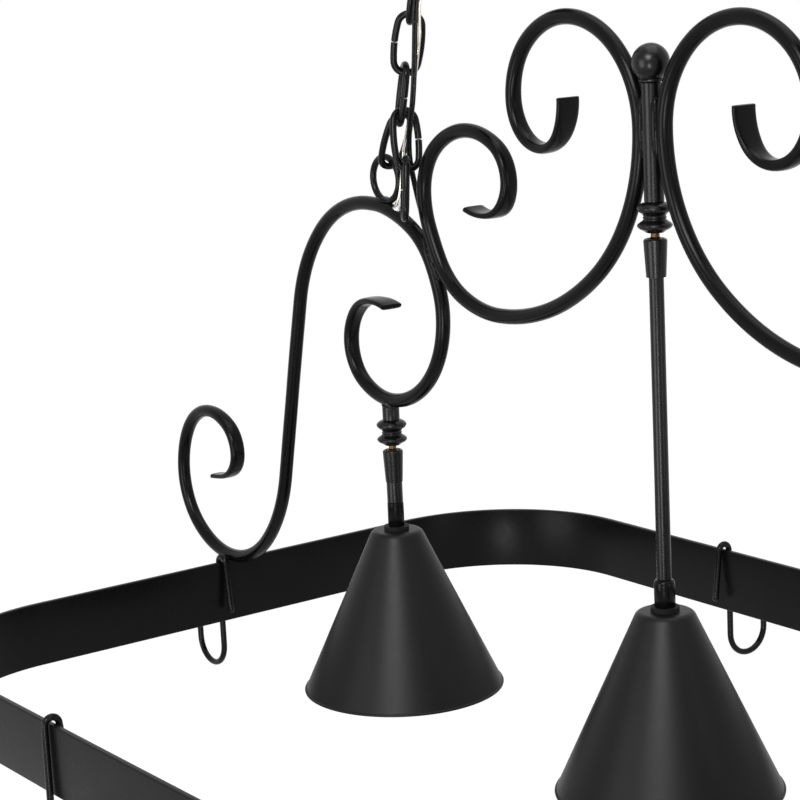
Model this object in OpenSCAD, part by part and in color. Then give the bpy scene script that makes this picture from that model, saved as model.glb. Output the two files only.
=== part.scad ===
// Hanging pot rack with three lamps. A flat steel rim carries a panel of forged round-bar scrolls,
// and two chains hold the panel from a pair of ceiling canopies. Millimetres, +Z up. X runs along
// the rack and the origin lies in the ceiling plane, midway between the two canopies.

/* [Rim] */
// Length of the opening inside the rim
rim_l = 1080; // [900:10:1400]
// Width of the opening inside the rim
rim_w = 612; // [420:2:760]
// Inner radius of the rim's corners
rim_corner_r = 125; // [60:5:200]
// Thickness of the rim's flat bar
band_t = 4.8; // [3:0.1:8]
// Height of the rim's flat bar
band_h = 50.8; // [30:0.1:80]

/* [Scroll panel] */
// Diameter of the round bar that the scrolls are bent from
bar_d = 10.5; // [8:0.1:13]
// Width of the bar's hammered end, across the panel
tip_w = 18; // [12:0.5:24]
// Thickness of the bar's hammered end
tip_t = 4; // [2.5:0.1:6]
// How far a welded bar sinks into what it is welded to
weld_sink = 0.4; // [0.2:0.05:0.8]
// Height of the end scrolls' arches over the rim, to the middle of the bar
arch_z = 315.5; // [280:0.5:345]
// Distance of the arches' tops from the middle of the rack
arch_x = 315; // [300:1:330]
// Height of the inner scrolls' tops over the rim, to the middle of the bar
crest_z = 451; // [430:1:480]
// Height of the inner scrolls' lowest stretch over the rim, to the middle of the bar
bowl_z = 247.5; // [225:0.5:270]
// Height over the rim at which the inner scrolls touch the post
post_touch_z = 382; // [360:1:400]
// Distance from the middle of the rack to the weld between end scroll and inner scroll
weld_x = 234; // [226:1:242]
// Height of that weld over the rim
weld_z = 280; // [270:1:290]
// Slope of the bars at that weld, in degrees below the level
weld_slope = 62; // [55:1:70]

/* [Post] */
// Diameter of the post between the inner scrolls
post_d = 12.7; // [9:0.1:18]
// Height of the post's lower end over the rim
post_foot_z = 336.3; // [320:0.1:345]
// Height of the post's upper end over the rim
post_top_z = 411; // [400:1:425]
// Diameter of the ball on the post
ball_d = 24; // [16:0.5:32]

/* [Lamps] */
// Distance from the middle of the rack to each outer lamp
lamp_x = 298; // [280:1:316]
// Height of the bar's middle over the rim where an outer lamp hangs
lamp_bar_z = 170.3; // [160:0.1:190]
// Length of the stub between the bar and an outer lamp's collar
stub_l = 10.3; // [6:0.1:20]
// Radius of the turned collar's two flanges
collar_r = 11.2; // [9:0.1:14]
// Height of the turned collar
collar_h = 19; // [16:0.1:26]
// Radius of the swivel's ball
swivel_r = 5.5; // [4.8:0.1:6]
// Radius of the swivel's neck
neck_r = 2.8; // [2:0.1:3]
// Open height between the collar and the sleeve below it
swivel_gap = 3.8; // [3.6:0.1:6]
// Height of the tapered sleeve round the swivel
sleeve_h = 24; // [18:0.5:34]
// Outer radius of the sleeve at its top
sleeve_r = 7.5; // [7.3:0.1:9]
// Outer radius of the sleeve at its foot
sleeve_foot_r = 6.3; // [6:0.1:7.3]
// Radius of the middle lamp's long stem
stem_r = 4.75; // [4:0.05:5.5]
// Radius of the outer lamps' short stems
short_stem_r = 5.9; // [4.5:0.1:6.2]
// Radius of the cup over each shade
cup_r = 6.9; // [6:0.1:9]
// Height of the cup over each shade
cup_h = 18; // [12:0.5:30]
// Radius of the washer on each shade
washer_r = 9.4; // [8:0.1:14]
// Thickness of the washer on each shade
washer_t = 3; // [1.5:0.1:5]
// Radius of the shade at its open foot
shade_r = 75.6; // [60:0.2:90]
// Radius of the shade's flat crown
crown_r = 20.4; // [19:0.1:26]
// Height of the shade
shade_h = 122; // [95:1:150]
// Thickness of the shade's sheet
shade_t = 1; // [0.8:0.1:1.6]
// Radius of the lampholder's threaded mouth, for a 26 mm screw base
holder_bore_r = 13.2; // [13.2:0.1:13.6]
// Outer radius of the lampholder
holder_r = 16.2; // [15.6:0.1:17.4]
// Length of the lampholder
holder_h = 44; // [38:1:50]

/* [Chains] */
// Diameter of the wire of chain links, rings and ceiling loops
wire_d = 5; // [4:0.1:5.4]
// Number of links in each chain
link_n = 5; // [5:2:9]
// Outer width of a link
link_w = 24; // [22:0.5:28]
// Distance from one link to the next along the chain
link_pitch = 36; // [30:0.5:48]
// Mean radius of the ring welded to each arch
ring_r = 16.5; // [14:0.5:20]
// Slope of the arch where its ring is welded, in degrees
ring_slope = 12; // [6:1:18]
// Lean of each chain towards the middle of the rack, in degrees
chain_lean = 17.5; // [8:0.5:24]

/* [Ceiling canopies] */
// Radius of a canopy
canopy_r = 63.5; // [50:0.5:80]
// Height of a canopy
canopy_h = 24; // [18:1:40]
// Thickness of a canopy's sheet
canopy_t = 1.2; // [0.8:0.1:2]
// Distance between a mounting bar's two screw holes
screw_spacing = 88.9; // [70:0.1:96]
// Radius of a screw hole
screw_hole_r = 2.4; // [2:0.1:2.8]
// Mean radius of a ceiling loop
loop_r = 11; // [10:0.5:14]

/* [Hooks] */
// Diameter of the hook wire
hook_d = 5; // [4:0.1:6]
// Distance from the middle of the rack to the hooks on the long sides
hook_x = 272; // [150:1:400]
// Distance of the end hooks from the rim's middle line, towards the front
hook_end_y = 9; // [8.5:0.5:150]
// Length of a hook's short leg inside the rim
hook_leg = 40; // [25:1:48]
// Depth of a hook's bend under the rim, to the middle of the wire
hook_drop = 42; // [30:1:60]
// Radius of a hook's bend, to the middle of the wire
hook_bend_r = 19; // [14:0.5:24]

/* [Wires] */
// Diameter of the mains lead
lead_d = 4; // [3:0.1:4.4]
// Diameter of the earth wire
earth_d = 2; // [1.6:0.1:2.4]

/* [Hidden] */
$fn = 48;

// Clearance between pieces that move on each other
play = 0.3;
// Clearance between a shaft and the hole that it turns or sits in
fit = 0.05;

black = "#1f1f20";

bar_r = bar_d / 2;
wire_r = wire_d / 2;

// Ring on each arch, measured from the middle of the rack and from the rim's top
ring_seat = [-arch_x + 21, arch_z - 1.6];
ring_outer_r = ring_r + wire_r;
ring_c = ring_seat + (bar_r + ring_outer_r - weld_sink) * direction(90 - ring_slope);

// Links: each bow's middle line lies bow_r from the link's long axis
bow_r = (link_w - wire_d) / 2;
link_reach = link_pitch + wire_d + play;
chain_up = direction(90 - chain_lean);
first_bow = ring_c + (ring_r - wire_d - play) * chain_up;
last_bow = first_bow + ((link_n - 1) * link_pitch + link_reach) * chain_up;
loop_c = last_bow + (loop_r - wire_d - play) * chain_up;
loop_touch = loop_c - loop_r * chain_up;
ring_touch = ring_c + ring_r * chain_up;
// Turn of each link about the chain, in degrees from the panel's plane
link_turn = [65, -20, 45, -33, 75];

// Heights of the ceiling pieces, downwards from the ceiling
bar_plate_t = 2.5;
nut_h = 5;
loop_bottom = -canopy_h - nut_h - 2 * loop_r - wire_r + 1.5;
// Height of the rim's top edge
rim_z = loop_bottom + loop_r - loop_c.y;
canopy_x = -loop_c.x;

// Heights in a lamp, from the rim's top
shade_top = shade_h - band_h;
cup_foot = shade_top + washer_t;
cup_top = cup_foot + cup_h;
lamp_sides = [-1, 0, 1];

// ---- plane curves: a node is [x, y, heading], a segment is [from, to, centre, radius, start, sweep]

function direction(a) = [cos(a), sin(a)];
function left_of(v) = [-v.y, v.x];

// One arc, or a straight line, that leaves p along t and ends at q
function arc(p, t, q) =
    let (chord = q - p, off = chord * left_of(t))
    abs(off) < 0.0001 ? [p, q, p, 0, 0, 0] :
    let (
        r = chord * chord / (2 * off),
        centre = p + r * left_of(t),
        spoke = p - centre
    )
    [p, q, centre, abs(r), atan2(spoke.y, spoke.x), 2 * atan2(off, chord * t)];

// Two arcs that share a tangent, from node a to node b
function biarc(a, b) =
    let (
        p = [a.x, a.y],
        q = [b.x, b.y],
        t = direction(a[2]),
        u = direction(b[2]),
        chord = q - p,
        k = 2 * (1 - t * u),
        m = chord * (t + u),
        reach = abs(k) < 0.0001 ? chord * chord / (4 * (chord * u)) : (sqrt(m * m + k * (chord * chord)) - m) / k,
        middle = (p + q + reach * (t - u)) / 2,
        first = arc(p, t, middle),
        turn = a[2] + first[5]
    )
    [first, arc(middle, direction(turn), q)];

function path(nodes) = [for (i = [0:len(nodes) - 2]) each biarc(nodes[i], nodes[i + 1])];

// Place and heading at the fraction f of a segment
function along(s, f) =
    s[3] == 0
        ? let (way = s[1] - s[0], at = s[0] + f * way) [at.x, at.y, atan2(way.y, way.x)]
        : let (a = s[4] + f * s[5], at = s[2] + s[3] * direction(a)) [at.x, at.y, a + (s[5] > 0 ? 90 : -90)];

module segment(s, d) {
    if (s[3] == 0) {
        way = s[1] - s[0];
        translate([s[0].x, s[0].y, 0])
            rotate([0, 90, atan2(way.y, way.x)])
                cylinder(d = d, h = norm(way));
    } else {
        translate([s[2].x, s[2].y, 0])
            rotate([0, 0, min(s[4], s[4] + s[5])])
                rotate_extrude(angle = abs(s[5]), $fn = 96)
                    translate([s[3], 0])
                        circle(d = d);
    }
}

// Round bar: neighbouring arcs stop just short of each other, inside a ring that joins them
seam_gap = 0.2;
seam_l = 1.2;
seam_lift = 0.1;
function trimmed(s) =
    let (
        l = s[3] == 0 ? norm(s[1] - s[0]) : s[3] * abs(s[5]) * PI / 180,
        f = seam_gap / l,
        way = s[1] - s[0]
    )
    [s[0] + f * way, s[1] - f * way, s[2], s[3], s[4] + f * s[5], (1 - 2 * f) * s[5]];

module round_bar(segments, d) {
    for (s = segments) segment(trimmed(s), d);
    for (s = segments) seam(along(s, 0), d);
    seam(along(segments[len(segments) - 1], 1), d);
}

module seam(at, d) {
    translate([at.x, at.y, 0])
        rotate([0, 90, at[2]])
            translate([0, 0, -seam_l / 2])
                cylinder(d = d + seam_lift, h = seam_l);
}

// Skin over rings of equal count, from the first ring to the last
module skin(rings) {
    n = len(rings[0]);
    last = len(rings) - 1;
    points = [for (ring = rings) each ring];
    sides = [
        for (i = [0:last - 1], j = [0:n - 1])
            let (k = (j + 1) % n) [i * n + j, (i + 1) * n + j, (i + 1) * n + k, i * n + k]
    ];
    caps = [[for (j = [0:n - 1]) j], [for (j = [n - 1:-1:0]) last * n + j]];
    polyhedron(points = points, faces = concat(sides, caps), convexity = 6);
}

// Hammered end: the bar widens across the panel and thins towards its tip
flat_steps = 5;
flat_sides = 20;
function bulge(v, power) = sign(v) * pow(abs(v), power);
function flat_ring(at, f) =
    let (
        ease = f * f * (3 - 2 * f),
        thick = f == 0 ? 0.97 * bar_r : bar_r + (tip_t / 2 - bar_r) * ease,
        wide = f == 0 ? 0.97 * bar_r : bar_r + (tip_w / 2 - bar_r) * ease,
        power = 1 - 0.45 * ease
    )
    [
        for (j = [0:flat_sides - 1])
            let (
                a = 360 * j / flat_sides,
                across = thick * bulge(cos(a), power) * left_of(direction(at[2]))
            )
            [at.x + across.x, at.y + across.y, wide * bulge(sin(a), power)]
    ];

module flat_end(frames) {
    last = len(frames) - 1;
    skin([for (i = [0:last]) flat_ring(frames[i], i / last)]);
}

// A scroll: its first and last pair of segments are hammered flat
module scroll(nodes) {
    segments = path(nodes);
    n = len(segments);
    color(black)
        rotate([90, 0, 0]) {
            round_bar([for (i = [2:n - 3]) segments[i]], bar_d);
            flat_end([
                for (i = [1, 0], k = [0:flat_steps])
                    if (i == 1 || k > 0)
                        let (at = along(segments[i], 1 - k / flat_steps)) [at.x, at.y, at[2] + 180]
            ]);
            flat_end([
                for (i = [n - 2, n - 1], k = [0:flat_steps])
                    if (i == n - 2 || k > 0) along(segments[i], k / flat_steps)
            ]);
        }
}

// ---- scroll panel, seen with X to the right and the rim's top at height 0

foot_x = -rim_l / 2 - band_t / 2;
weld_way = direction(-weld_slope);
weld_half = (bar_d - weld_sink) / 2 * left_of(weld_way);
end_weld = [-weld_x, weld_z] - weld_half;
inner_weld = [-weld_x, weld_z] + weld_half;
post_touch_x = -(post_d / 2 + bar_r - weld_sink);

end_scroll_nodes = [
    [foot_x - 29, 66, 9],
    [foot_x + 6.5, 76.5, 26],
    [foot_x + 19, 97, 90],
    [foot_x - 18, 125, 180],
    [foot_x - 69, 66, 270],
    [foot_x, bar_r - weld_sink, 360],
    [foot_x + 93, 86, 436],
    [-arch_x - 98, arch_z - 82.5, 435.5],
    [-arch_x, arch_z, 360],
    [ring_seat.x, ring_seat.y, 360 - ring_slope],
    [end_weld.x, end_weld.y, 360 - weld_slope],
    [-arch_x + 87.5, arch_z - 75.5, 270],
    [-lamp_x, lamp_bar_z, 180],
    [-lamp_x - 47, lamp_bar_z + 38, 90],
    [-lamp_x - 16, lamp_bar_z + 73, 5],
    [-lamp_x + 14, lamp_bar_z + 73.2, -3]
];

inner_scroll_nodes = [
    [-weld_x + 44, weld_z + 37.5, 0],
    [-weld_x + 69, weld_z + 38.5, 10],
    [-weld_x + 88, weld_z + 60.5, 90],
    [-weld_x + 44, weld_z + 93.5, 180],
    [-weld_x - 9.5, weld_z + 46, 270],
    [inner_weld.x, inner_weld.y, 360 - weld_slope],
    [-163, bowl_z, 360],
    [post_touch_x, post_touch_z, 450],
    [-80, crest_z, 540],
    [-137.5, crest_z - 53, 630],
    [-107, crest_z - 86, 720],
    [-81, crest_z - 52, 812]
];

module on_panel() {
    translate([0, 0, rim_z]) children();
}

module on_right() {
    mirror([1, 0, 0]) children();
}

module end_scroll_left() { on_panel() scroll(end_scroll_nodes); }
module end_scroll_right() { on_right() end_scroll_left(); }
module inner_scroll_left() { on_panel() scroll(inner_scroll_nodes); }
module inner_scroll_right() { on_right() inner_scroll_left(); }

module rounded_slab(l, w, r, h) {
    translate([-l / 2, r - w / 2, 0]) cube([l, w - 2 * r, h]);
    translate([r - l / 2, -w / 2, 0]) cube([l - 2 * r, w, h]);
    for (x = [-1, 1], y = [-1, 1])
        translate([x * (l / 2 - r), y * (w / 2 - r), 0]) cylinder(r = r, h = h, $fn = 128);
}

module rim_band() {
    color(black)
        on_panel()
            difference() {
                translate([0, 0, -band_h])
                    rounded_slab(rim_l + 2 * band_t, rim_w + 2 * band_t, rim_corner_r + band_t, band_h);
                translate([0, 0, -band_h - 1])
                    rounded_slab(rim_l, rim_w, rim_corner_r, band_h + 2);
            }
}

module centre_post() {
    color(black)
        on_panel()
            translate([0, 0, post_foot_z]) cylinder(d = post_d, h = post_top_z - post_foot_z);
}

finial_neck_h = 2;
module ball_finial() {
    ball_r = ball_d / 2;
    seat = post_top_z + finial_neck_h;
    color(black)
        on_panel() {
            translate([0, 0, post_top_z]) cylinder(d = post_d + 3, h = finial_neck_h);
            translate([0, 0, seat - 1]) cylinder(d = post_d - 2, h = ball_r);
            translate([0, 0, seat + ball_r - 2]) sphere(r = ball_r, $fn = 64);
        }
}

module wire_ring(r) {
    rotate([90, 0, 0])
        rotate_extrude($fn = 72)
            translate([r, 0]) circle(d = wire_d);
}

module hanging_ring_left() {
    color(black) on_panel() translate([ring_c.x, 0, ring_c.y]) wire_ring(ring_r);
}
module hanging_ring_right() { on_right() hanging_ring_left(); }

// ---- lamps

function lamp_top(side) = side == 0 ? post_foot_z : lamp_bar_z - bar_r + weld_sink - stub_l;
function sleeve_top(side) = lamp_top(side) - collar_h - swivel_gap;
seat_r = swivel_r + 0.7;
mouth_r = swivel_r - 0.3;
mouth_drop = sqrt(seat_r * seat_r - mouth_r * mouth_r) + 0.2;
function swivel_z(side) = sleeve_top(side) - mouth_drop;

module at_lamp(side, z) {
    translate([side * lamp_x, 0, rim_z + z]) children();
}

// Turned collar: two flanges with a waist between them, tapering to the swivel's neck
module collar(side) {
    waist_r = 0.63 * collar_r;
    lip = 1.6;
    span = (collar_h - 6) / 2;
    function hollow(f) = waist_r + (collar_r - waist_r) * pow(abs(cos(180 * f)), 1.6);
    curve = [for (i = [0:10]) let (f = i / 10) [hollow(f), -lip - 0.5 - 2 * span * f * 0.86]];
    foot = -collar_h;
    color(black)
        at_lamp(side, lamp_top(side))
            difference() {
                union() {
                    rotate_extrude()
                        polygon(concat(
                            [[0, 0], [collar_r - 1.2, 0], [collar_r, -0.9]],
                            curve,
                            [[collar_r, foot + 4.6], [5.6, foot], [0, foot]]
                        ));
                    if (side != 0) cylinder(d = post_d, h = stub_l);
                }
                translate([0, 0, foot - 1]) cylinder(r = neck_r + fit, h = 9);
            }
}
module collar_left() { collar(-1); }
module collar_centre() { collar(0); }
module collar_right() { collar(1); }

// Brass stud that ends in the swivel's ball
module swivel_stud(side) {
    neck = swivel_gap + mouth_drop + 8;
    color("goldenrod")
        at_lamp(side, swivel_z(side)) {
            sphere(r = swivel_r);
            cylinder(r = neck_r, h = neck);
        }
}
module swivel_stud_left() { swivel_stud(-1); }
module swivel_stud_centre() { swivel_stud(0); }
module swivel_stud_right() { swivel_stud(1); }

// Thin cup between the ball and its seat
module swivel_cup(side) {
    color("goldenrod")
        at_lamp(side, swivel_z(side))
            difference() {
                sphere(r = seat_r - fit);
                sphere(r = swivel_r + fit);
                translate([0, 0, -1]) cylinder(r = 2 * seat_r, h = 2 * seat_r);
            }
}
module swivel_cup_left() { swivel_cup(-1); }
module swivel_cup_centre() { swivel_cup(0); }
module swivel_cup_right() { swivel_cup(1); }

module sleeve(side) {
    drop = sleeve_h - mouth_drop;
    color(black)
        at_lamp(side, swivel_z(side))
            difference() {
                translate([0, 0, -drop]) cylinder(r1 = sleeve_foot_r, r2 = sleeve_r, h = sleeve_h);
                sphere(r = seat_r);
                cylinder(r = mouth_r, h = sleeve_h);
            }
}
module sleeve_left() { sleeve(-1); }
module sleeve_centre() { sleeve(0); }
module sleeve_right() { sleeve(1); }

module stem(side) {
    top = sleeve_top(side) - sleeve_h;
    color(black)
        at_lamp(side, cup_top)
            cylinder(r = side == 0 ? stem_r : short_stem_r, h = top - cup_top);
}
module stem_left() { stem(-1); }
module stem_centre() { stem(0); }
module stem_right() { stem(1); }

// Cup with the threaded nipple that passes through washer and shade into the lampholder
nipple_r = 4.7;
cap_h = 6;
module shade_cup(side) {
    color(black)
        at_lamp(side, cup_foot) {
            rotate_extrude()
                polygon([
                    [0, 0], [cup_r, 0], [cup_r, cup_h - 3], [cup_r - 0.8, cup_h - 1], [cup_r - 2, cup_h], [0, cup_h]
                ]);
            translate([0, 0, -washer_t - shade_t - cap_h]) cylinder(r = nipple_r, h = washer_t + shade_t + cap_h);
        }
}
module shade_cup_left() { shade_cup(-1); }
module shade_cup_centre() { shade_cup(0); }
module shade_cup_right() { shade_cup(1); }

module washer(side) {
    color("#101010")
        at_lamp(side, shade_top)
            difference() {
                cylinder(r = washer_r, h = washer_t);
                translate([0, 0, -1]) cylinder(r = nipple_r + fit, h = washer_t + 2);
            }
}
module washer_left() { washer(-1); }
module washer_centre() { washer(0); }
module washer_right() { washer(1); }

// Spun cone with a flat crown, a rounded shoulder and a small turned-out foot
shoulder_r = 5;
module shade(side) {
    flare = atan2(shade_r - crown_r, shade_h);
    function shoulder(r, lift) = [
        for (i = [0:6]) let (a = 90 - (90 - flare) * i / 6)
            [crown_r - shoulder_r + r * cos(a) , shade_h - shoulder_r + r * sin(a) + lift]
    ];
    foot_lip = 1.4;
    outer = concat([[nipple_r + fit, shade_h]], shoulder(shoulder_r, 0), [[shade_r - foot_lip, 2], [shade_r, 0.8], [shade_r, 0]]);
    inner = concat(
        [[shade_r - shade_t - 0.6, 0], [shade_r - foot_lip - shade_t - 0.3, 2]],
        [for (i = [6:-1:0]) shoulder(shoulder_r - shade_t, 0)[i]],
        [[nipple_r + fit, shade_h - shade_t]]
    );
    color("#2a2a2b")
        at_lamp(side, shade_top - shade_h)
            rotate_extrude($fn = 96) polygon(concat(outer, inner));
}
module shade_left() { shade(-1); }
module shade_centre() { shade(0); }
module shade_right() { shade(1); }

module lampholder(side) {
    top = shade_top - shade_t;
    color("#e8e4da")
        at_lamp(side, top)
            difference() {
                translate([0, 0, -holder_h])
                    rotate_extrude()
                        polygon([
                            [0, 0], [holder_r, 0], [holder_r, holder_h - 14], [holder_r - 2, holder_h - 11],
                            [holder_r - 2, holder_h - 2], [holder_r - 4, holder_h], [0, holder_h]
                        ]);
                translate([0, 0, -holder_h - 1]) cylinder(r = holder_bore_r, h = holder_h - cap_h - 5);
                translate([0, 0, -cap_h]) cylinder(r = nipple_r + fit, h = cap_h + 1);
            }
}
module lampholder_left() { lampholder(-1); }
module lampholder_centre() { lampholder(0); }
module lampholder_right() { lampholder(1); }

// ---- chains and ceiling pieces

module link() {
    straight = link_reach - 2 * bow_r;
    rotate([90, 0, 0])
        for (end = [0, 1])
            rotate([0, 0, 180 * end]) {
                translate([0, straight / 2, 0])
                    rotate_extrude(angle = 180) translate([bow_r, 0]) circle(d = wire_d);
                translate([bow_r, -straight / 2, 0])
                    rotate([-90, 0, 0]) cylinder(d = wire_d, h = straight);
            }
}

module chain_left() {
    color(black)
        on_panel()
            for (i = [0:link_n - 1]) {
                at = first_bow + (link_reach / 2 + i * link_pitch) * chain_up;
                translate([at.x, 0, at.y])
                    rotate([0, chain_lean, 0])
                        rotate([0, 0, link_turn[i % len(link_turn)]])
                            link();
            }
}
module chain_right() { on_right() chain_left(); }

stem_hole_r = 4.95;
module ceiling_loop_left() {
    color(black)
        translate([-canopy_x, 0, 0]) {
            translate([0, 0, -canopy_h]) cylinder(r = stem_hole_r - fit, h = canopy_h);
            translate([0, 0, -canopy_h - nut_h]) cylinder(r = 9, h = nut_h, $fn = 6);
            translate([0, 0, loop_bottom + loop_r]) wire_ring(loop_r);
        }
}
module ceiling_loop_right() { on_right() ceiling_loop_left(); }

// Spun canopy, open towards the ceiling
bushing_x = 20;
bushing_hole_r = 5.2;
module canopy_shell() {
    function dome(r, h) = [for (i = [0:8]) let (a = 90 * i / 8) [r - 18 + 18 * cos(a), -h + 14 - 14 * sin(a)]];
    rotate_extrude($fn = 96)
        polygon(concat(
            [[stem_hole_r, -canopy_h + canopy_t], [stem_hole_r, -canopy_h]],
            [for (i = [8:-1:0]) dome(canopy_r, canopy_h)[i]],
            [[canopy_r, 0], [canopy_r - canopy_t, 0]],
            dome(canopy_r - canopy_t, canopy_h - canopy_t)
        ));
}
module canopy_left() {
    color(black)
        translate([-canopy_x, 0, 0])
            difference() {
                canopy_shell();
                translate([bushing_x, 0, -canopy_h - 1]) cylinder(r = bushing_hole_r, h = canopy_h);
            }
}
module canopy_right() { color(black) on_right() translate([-canopy_x, 0, 0]) canopy_shell(); }

module mounting_bar_left() {
    l = screw_spacing + 14;
    w = 16;
    color("silver")
        translate([-canopy_x, 0, -bar_plate_t])
            difference() {
                translate([-w / 2, -l / 2, 0]) cube([w, l, bar_plate_t]);
                translate([0, 0, -1]) cylinder(r = stem_hole_r, h = bar_plate_t + 2);
                for (y = [-1, 1])
                    translate([0, y * screw_spacing / 2, -1]) cylinder(r = screw_hole_r, h = bar_plate_t + 2);
            }
}
module mounting_bar_right() { on_right() mounting_bar_left(); }

// Rubber bushing in the left canopy, for the lead and the earth wire
module canopy_bushing() {
    flange = 2;
    color("#181818")
        translate([bushing_x - canopy_x, 0, -canopy_h]) {
            translate([0, 0, 0]) cylinder(r = bushing_hole_r - fit, h = canopy_t + 1.5);
            translate([0, 0, -flange]) cylinder(r = bushing_hole_r + 1.8, h = flange);
        }
}

// ---- wires: each route is a list of points from the rim's top, from the top down

// Turning heights: the lead and the earth wire cross each hinge line in the panel's plane
joint_gap = 0.45;

function smooth(p, steps) = [
    for (i = [0:len(p) - 2], k = [0:steps - 1])
        let (
            a = p[max(i - 1, 0)], b = p[i], c = p[i + 1], d = p[min(i + 2, len(p) - 1)],
            f = k / steps
        )
        b + 0.5 * f * (c - a + f * (2 * a - 5 * b + 4 * c - d + f * (3 * (b - c) + d - a))),
    p[len(p) - 1]
];
function unit(v) = v / norm(v);
function tube_ring(at, way, r) =
    let (a = unit(cross(way, [0, 1, 0])), b = cross(way, a))
    [for (j = [0:7]) at + r * (cos(45 * j) * a + sin(45 * j) * b)];
module tube(points, d) {
    n = len(points);
    skin([
        for (i = [0:n - 1])
            tube_ring(points[i], unit(points[min(i + 1, n - 1)] - points[max(i - 1, 0)]), d / 2)
    ]);
}

upper_line = loop_touch.y;
lower_line = ring_touch.y;
ceiling_line = -rim_z - canopy_h - 2;

lead_top_route = [[-209.5, 0, ceiling_line], [-209.8, 0, 533], [-211, 0, upper_line + joint_gap]];
lead_chain_route = [
    [-211, 0, upper_line - joint_gap], [-211.4, -0.3, 515], [-213.5, -1.8, 508], [-217.5, -4.4, 498],
    [-224, -8, 480], [-230.5, -9, 461], [-233.5, -9, 439], [-236, -9, 416], [-240, -8.8, 393],
    [-246.5, -6.9, 379], [-253, -3.9, 367.5], [-257.4, -1.2, 360.3], [-258.9, -0.15, 356.6],
    [-259, 0, lower_line + joint_gap]
];
lead_rack_route = [
    [-259, 0, lower_line - joint_gap], [-258.9, 0.8, 345], [-259, 3.2, 333], [-259.6, 7, 318], [-259, 10.2, 306],
    [-256, 12.3, 297], [-251.5, 13.2, 291], [-247.3, 12.4, 287.6], [-244.6, 10.4, 286.2], [-244.1, 8.2, 286]
];
earth_top_route = [[-206, 0, ceiling_line], [-206.2, 0, 533], [-207, 0, upper_line + joint_gap]];
earth_chain_route = [
    [-207, 0, upper_line - joint_gap], [-207.3, -0.3, 515], [-209.3, -1.2, 507], [-213.5, -2.4, 497],
    [-222, -4.2, 480], [-231, -5, 461], [-233, -5, 439], [-240, -4, 416], [-248, -3.5, 393], [-258, -2.5, 370],
    [-265.7, -0.3, 357], [-266.5, 0, lower_line + joint_gap]
];
earth_rack_route = [
    [-266.5, 0, lower_line - joint_gap], [-267.6, -1.5, 340], [-267.4, -3.8, 327], [-270.5, -4.4, 319],
    [-275.3, -2.9, 315.6]
];

module lead_top() { color("#141414") on_panel() tube(smooth(lead_top_route, 2), lead_d); }
module lead_chain() { color("#141414") on_panel() tube(smooth(lead_chain_route, 3), lead_d); }
module lead_rack() { color("#141414") on_panel() tube(smooth(lead_rack_route, 3), lead_d); }
module earth_top() { color("#d8d4cc") on_panel() tube(smooth(earth_top_route, 2), earth_d); }
module earth_chain() { color("#d8d4cc") on_panel() tube(smooth(earth_chain_route, 3), earth_d); }
module earth_rack() { color("#d8d4cc") on_panel() tube(smooth(earth_rack_route, 3), earth_d); }

// Bushing at the back of the end scroll, where the lead goes into the bar
module scroll_bushing() {
    color("#181818") on_panel() translate([-244.1, bar_r - 0.6, 286]) rotate([-90, 0, 0]) cylinder(r = 3.4, h = 4);
}

// Earth screw on the arch's shoulder, with its shank tapped into the bar and a washer under the head
earth_screw_tilt = 25;
earth_washer_r = 4.2;
earth_head_r = 3.2;
module earth_screw() {
    color("silver")
        on_panel()
            translate([-278.25, 0, 309.3])
                rotate([0, earth_screw_tilt, 0]) {
                    cylinder(r = 1.6, h = bar_r + 2);
                    translate([0, 0, bar_r - 0.2]) cylinder(r = earth_washer_r, h = 1.2);
                    translate([0, 0, bar_r + 1]) cylinder(r = earth_head_r, h = 2.6);
                }
}

// ---- hooks: drawn in their own plane with the rim's bar middle at x = 0 and its top at y = 0

hook_over_r = band_t / 2 + 2 * play + hook_d / 2;
hook_over_y = -1.2;
hook_flare = 7;
hook_nodes = [
    [hook_over_r, hook_over_y, 90],
    [-hook_over_r, hook_over_y, 270],
    [-hook_over_r, -band_h - hook_drop + hook_bend_r, 270],
    [-hook_over_r - 2 * hook_bend_r, -band_h - hook_drop + hook_bend_r, 90 + 360],
    [-hook_over_r - 2 * hook_bend_r, -band_h - 9, 90 + 360]
];

// Hook with its bend towards -X, at the middle of the rim's left end
module hook() {
    leg_top = [hook_over_r, hook_over_y];
    leg_foot = leg_top + (hook_leg + hook_over_y) * direction(hook_flare - 90);
    tip = hook_nodes[4];
    color(black)
        rotate([90, 0, 0]) {
            segment([leg_foot, leg_top, leg_foot, 0, 0, 0], hook_d);
            translate([leg_foot.x, leg_foot.y, 0]) sphere(d = hook_d);
            segment([[0, 0], [0, 0], [0, hook_over_y], hook_over_r, 0, 180], hook_d);
            segment([[hook_nodes[1].x, hook_nodes[1].y], [hook_nodes[2].x, hook_nodes[2].y], [0, 0], 0, 0, 0], hook_d);
            segment([[0, 0], [0, 0], [hook_nodes[2].x - hook_bend_r, hook_nodes[2].y], hook_bend_r, 180, 180], hook_d);
            segment([[hook_nodes[3].x, hook_nodes[3].y], [tip.x, tip.y], [0, 0], 0, 0, 0], hook_d);
            translate([tip.x, tip.y, 0]) sphere(d = hook_d);
        }
}
module end_hook() { on_panel() translate([foot_x, -hook_end_y, 0]) hook(); }
module side_hook() {
    on_panel() translate([-hook_x, rim_w / 2 + band_t / 2, 0]) rotate([0, 0, -90]) hook();
}
module hook_end_left() { end_hook(); }
module hook_end_right() { on_right() end_hook(); }
module hook_back_left() { side_hook(); }
module hook_back_right() { on_right() side_hook(); }
module hook_front_left() { mirror([0, 1, 0]) side_hook(); }
module hook_front_right() { mirror([0, 1, 0]) on_right() side_hook(); }

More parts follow.
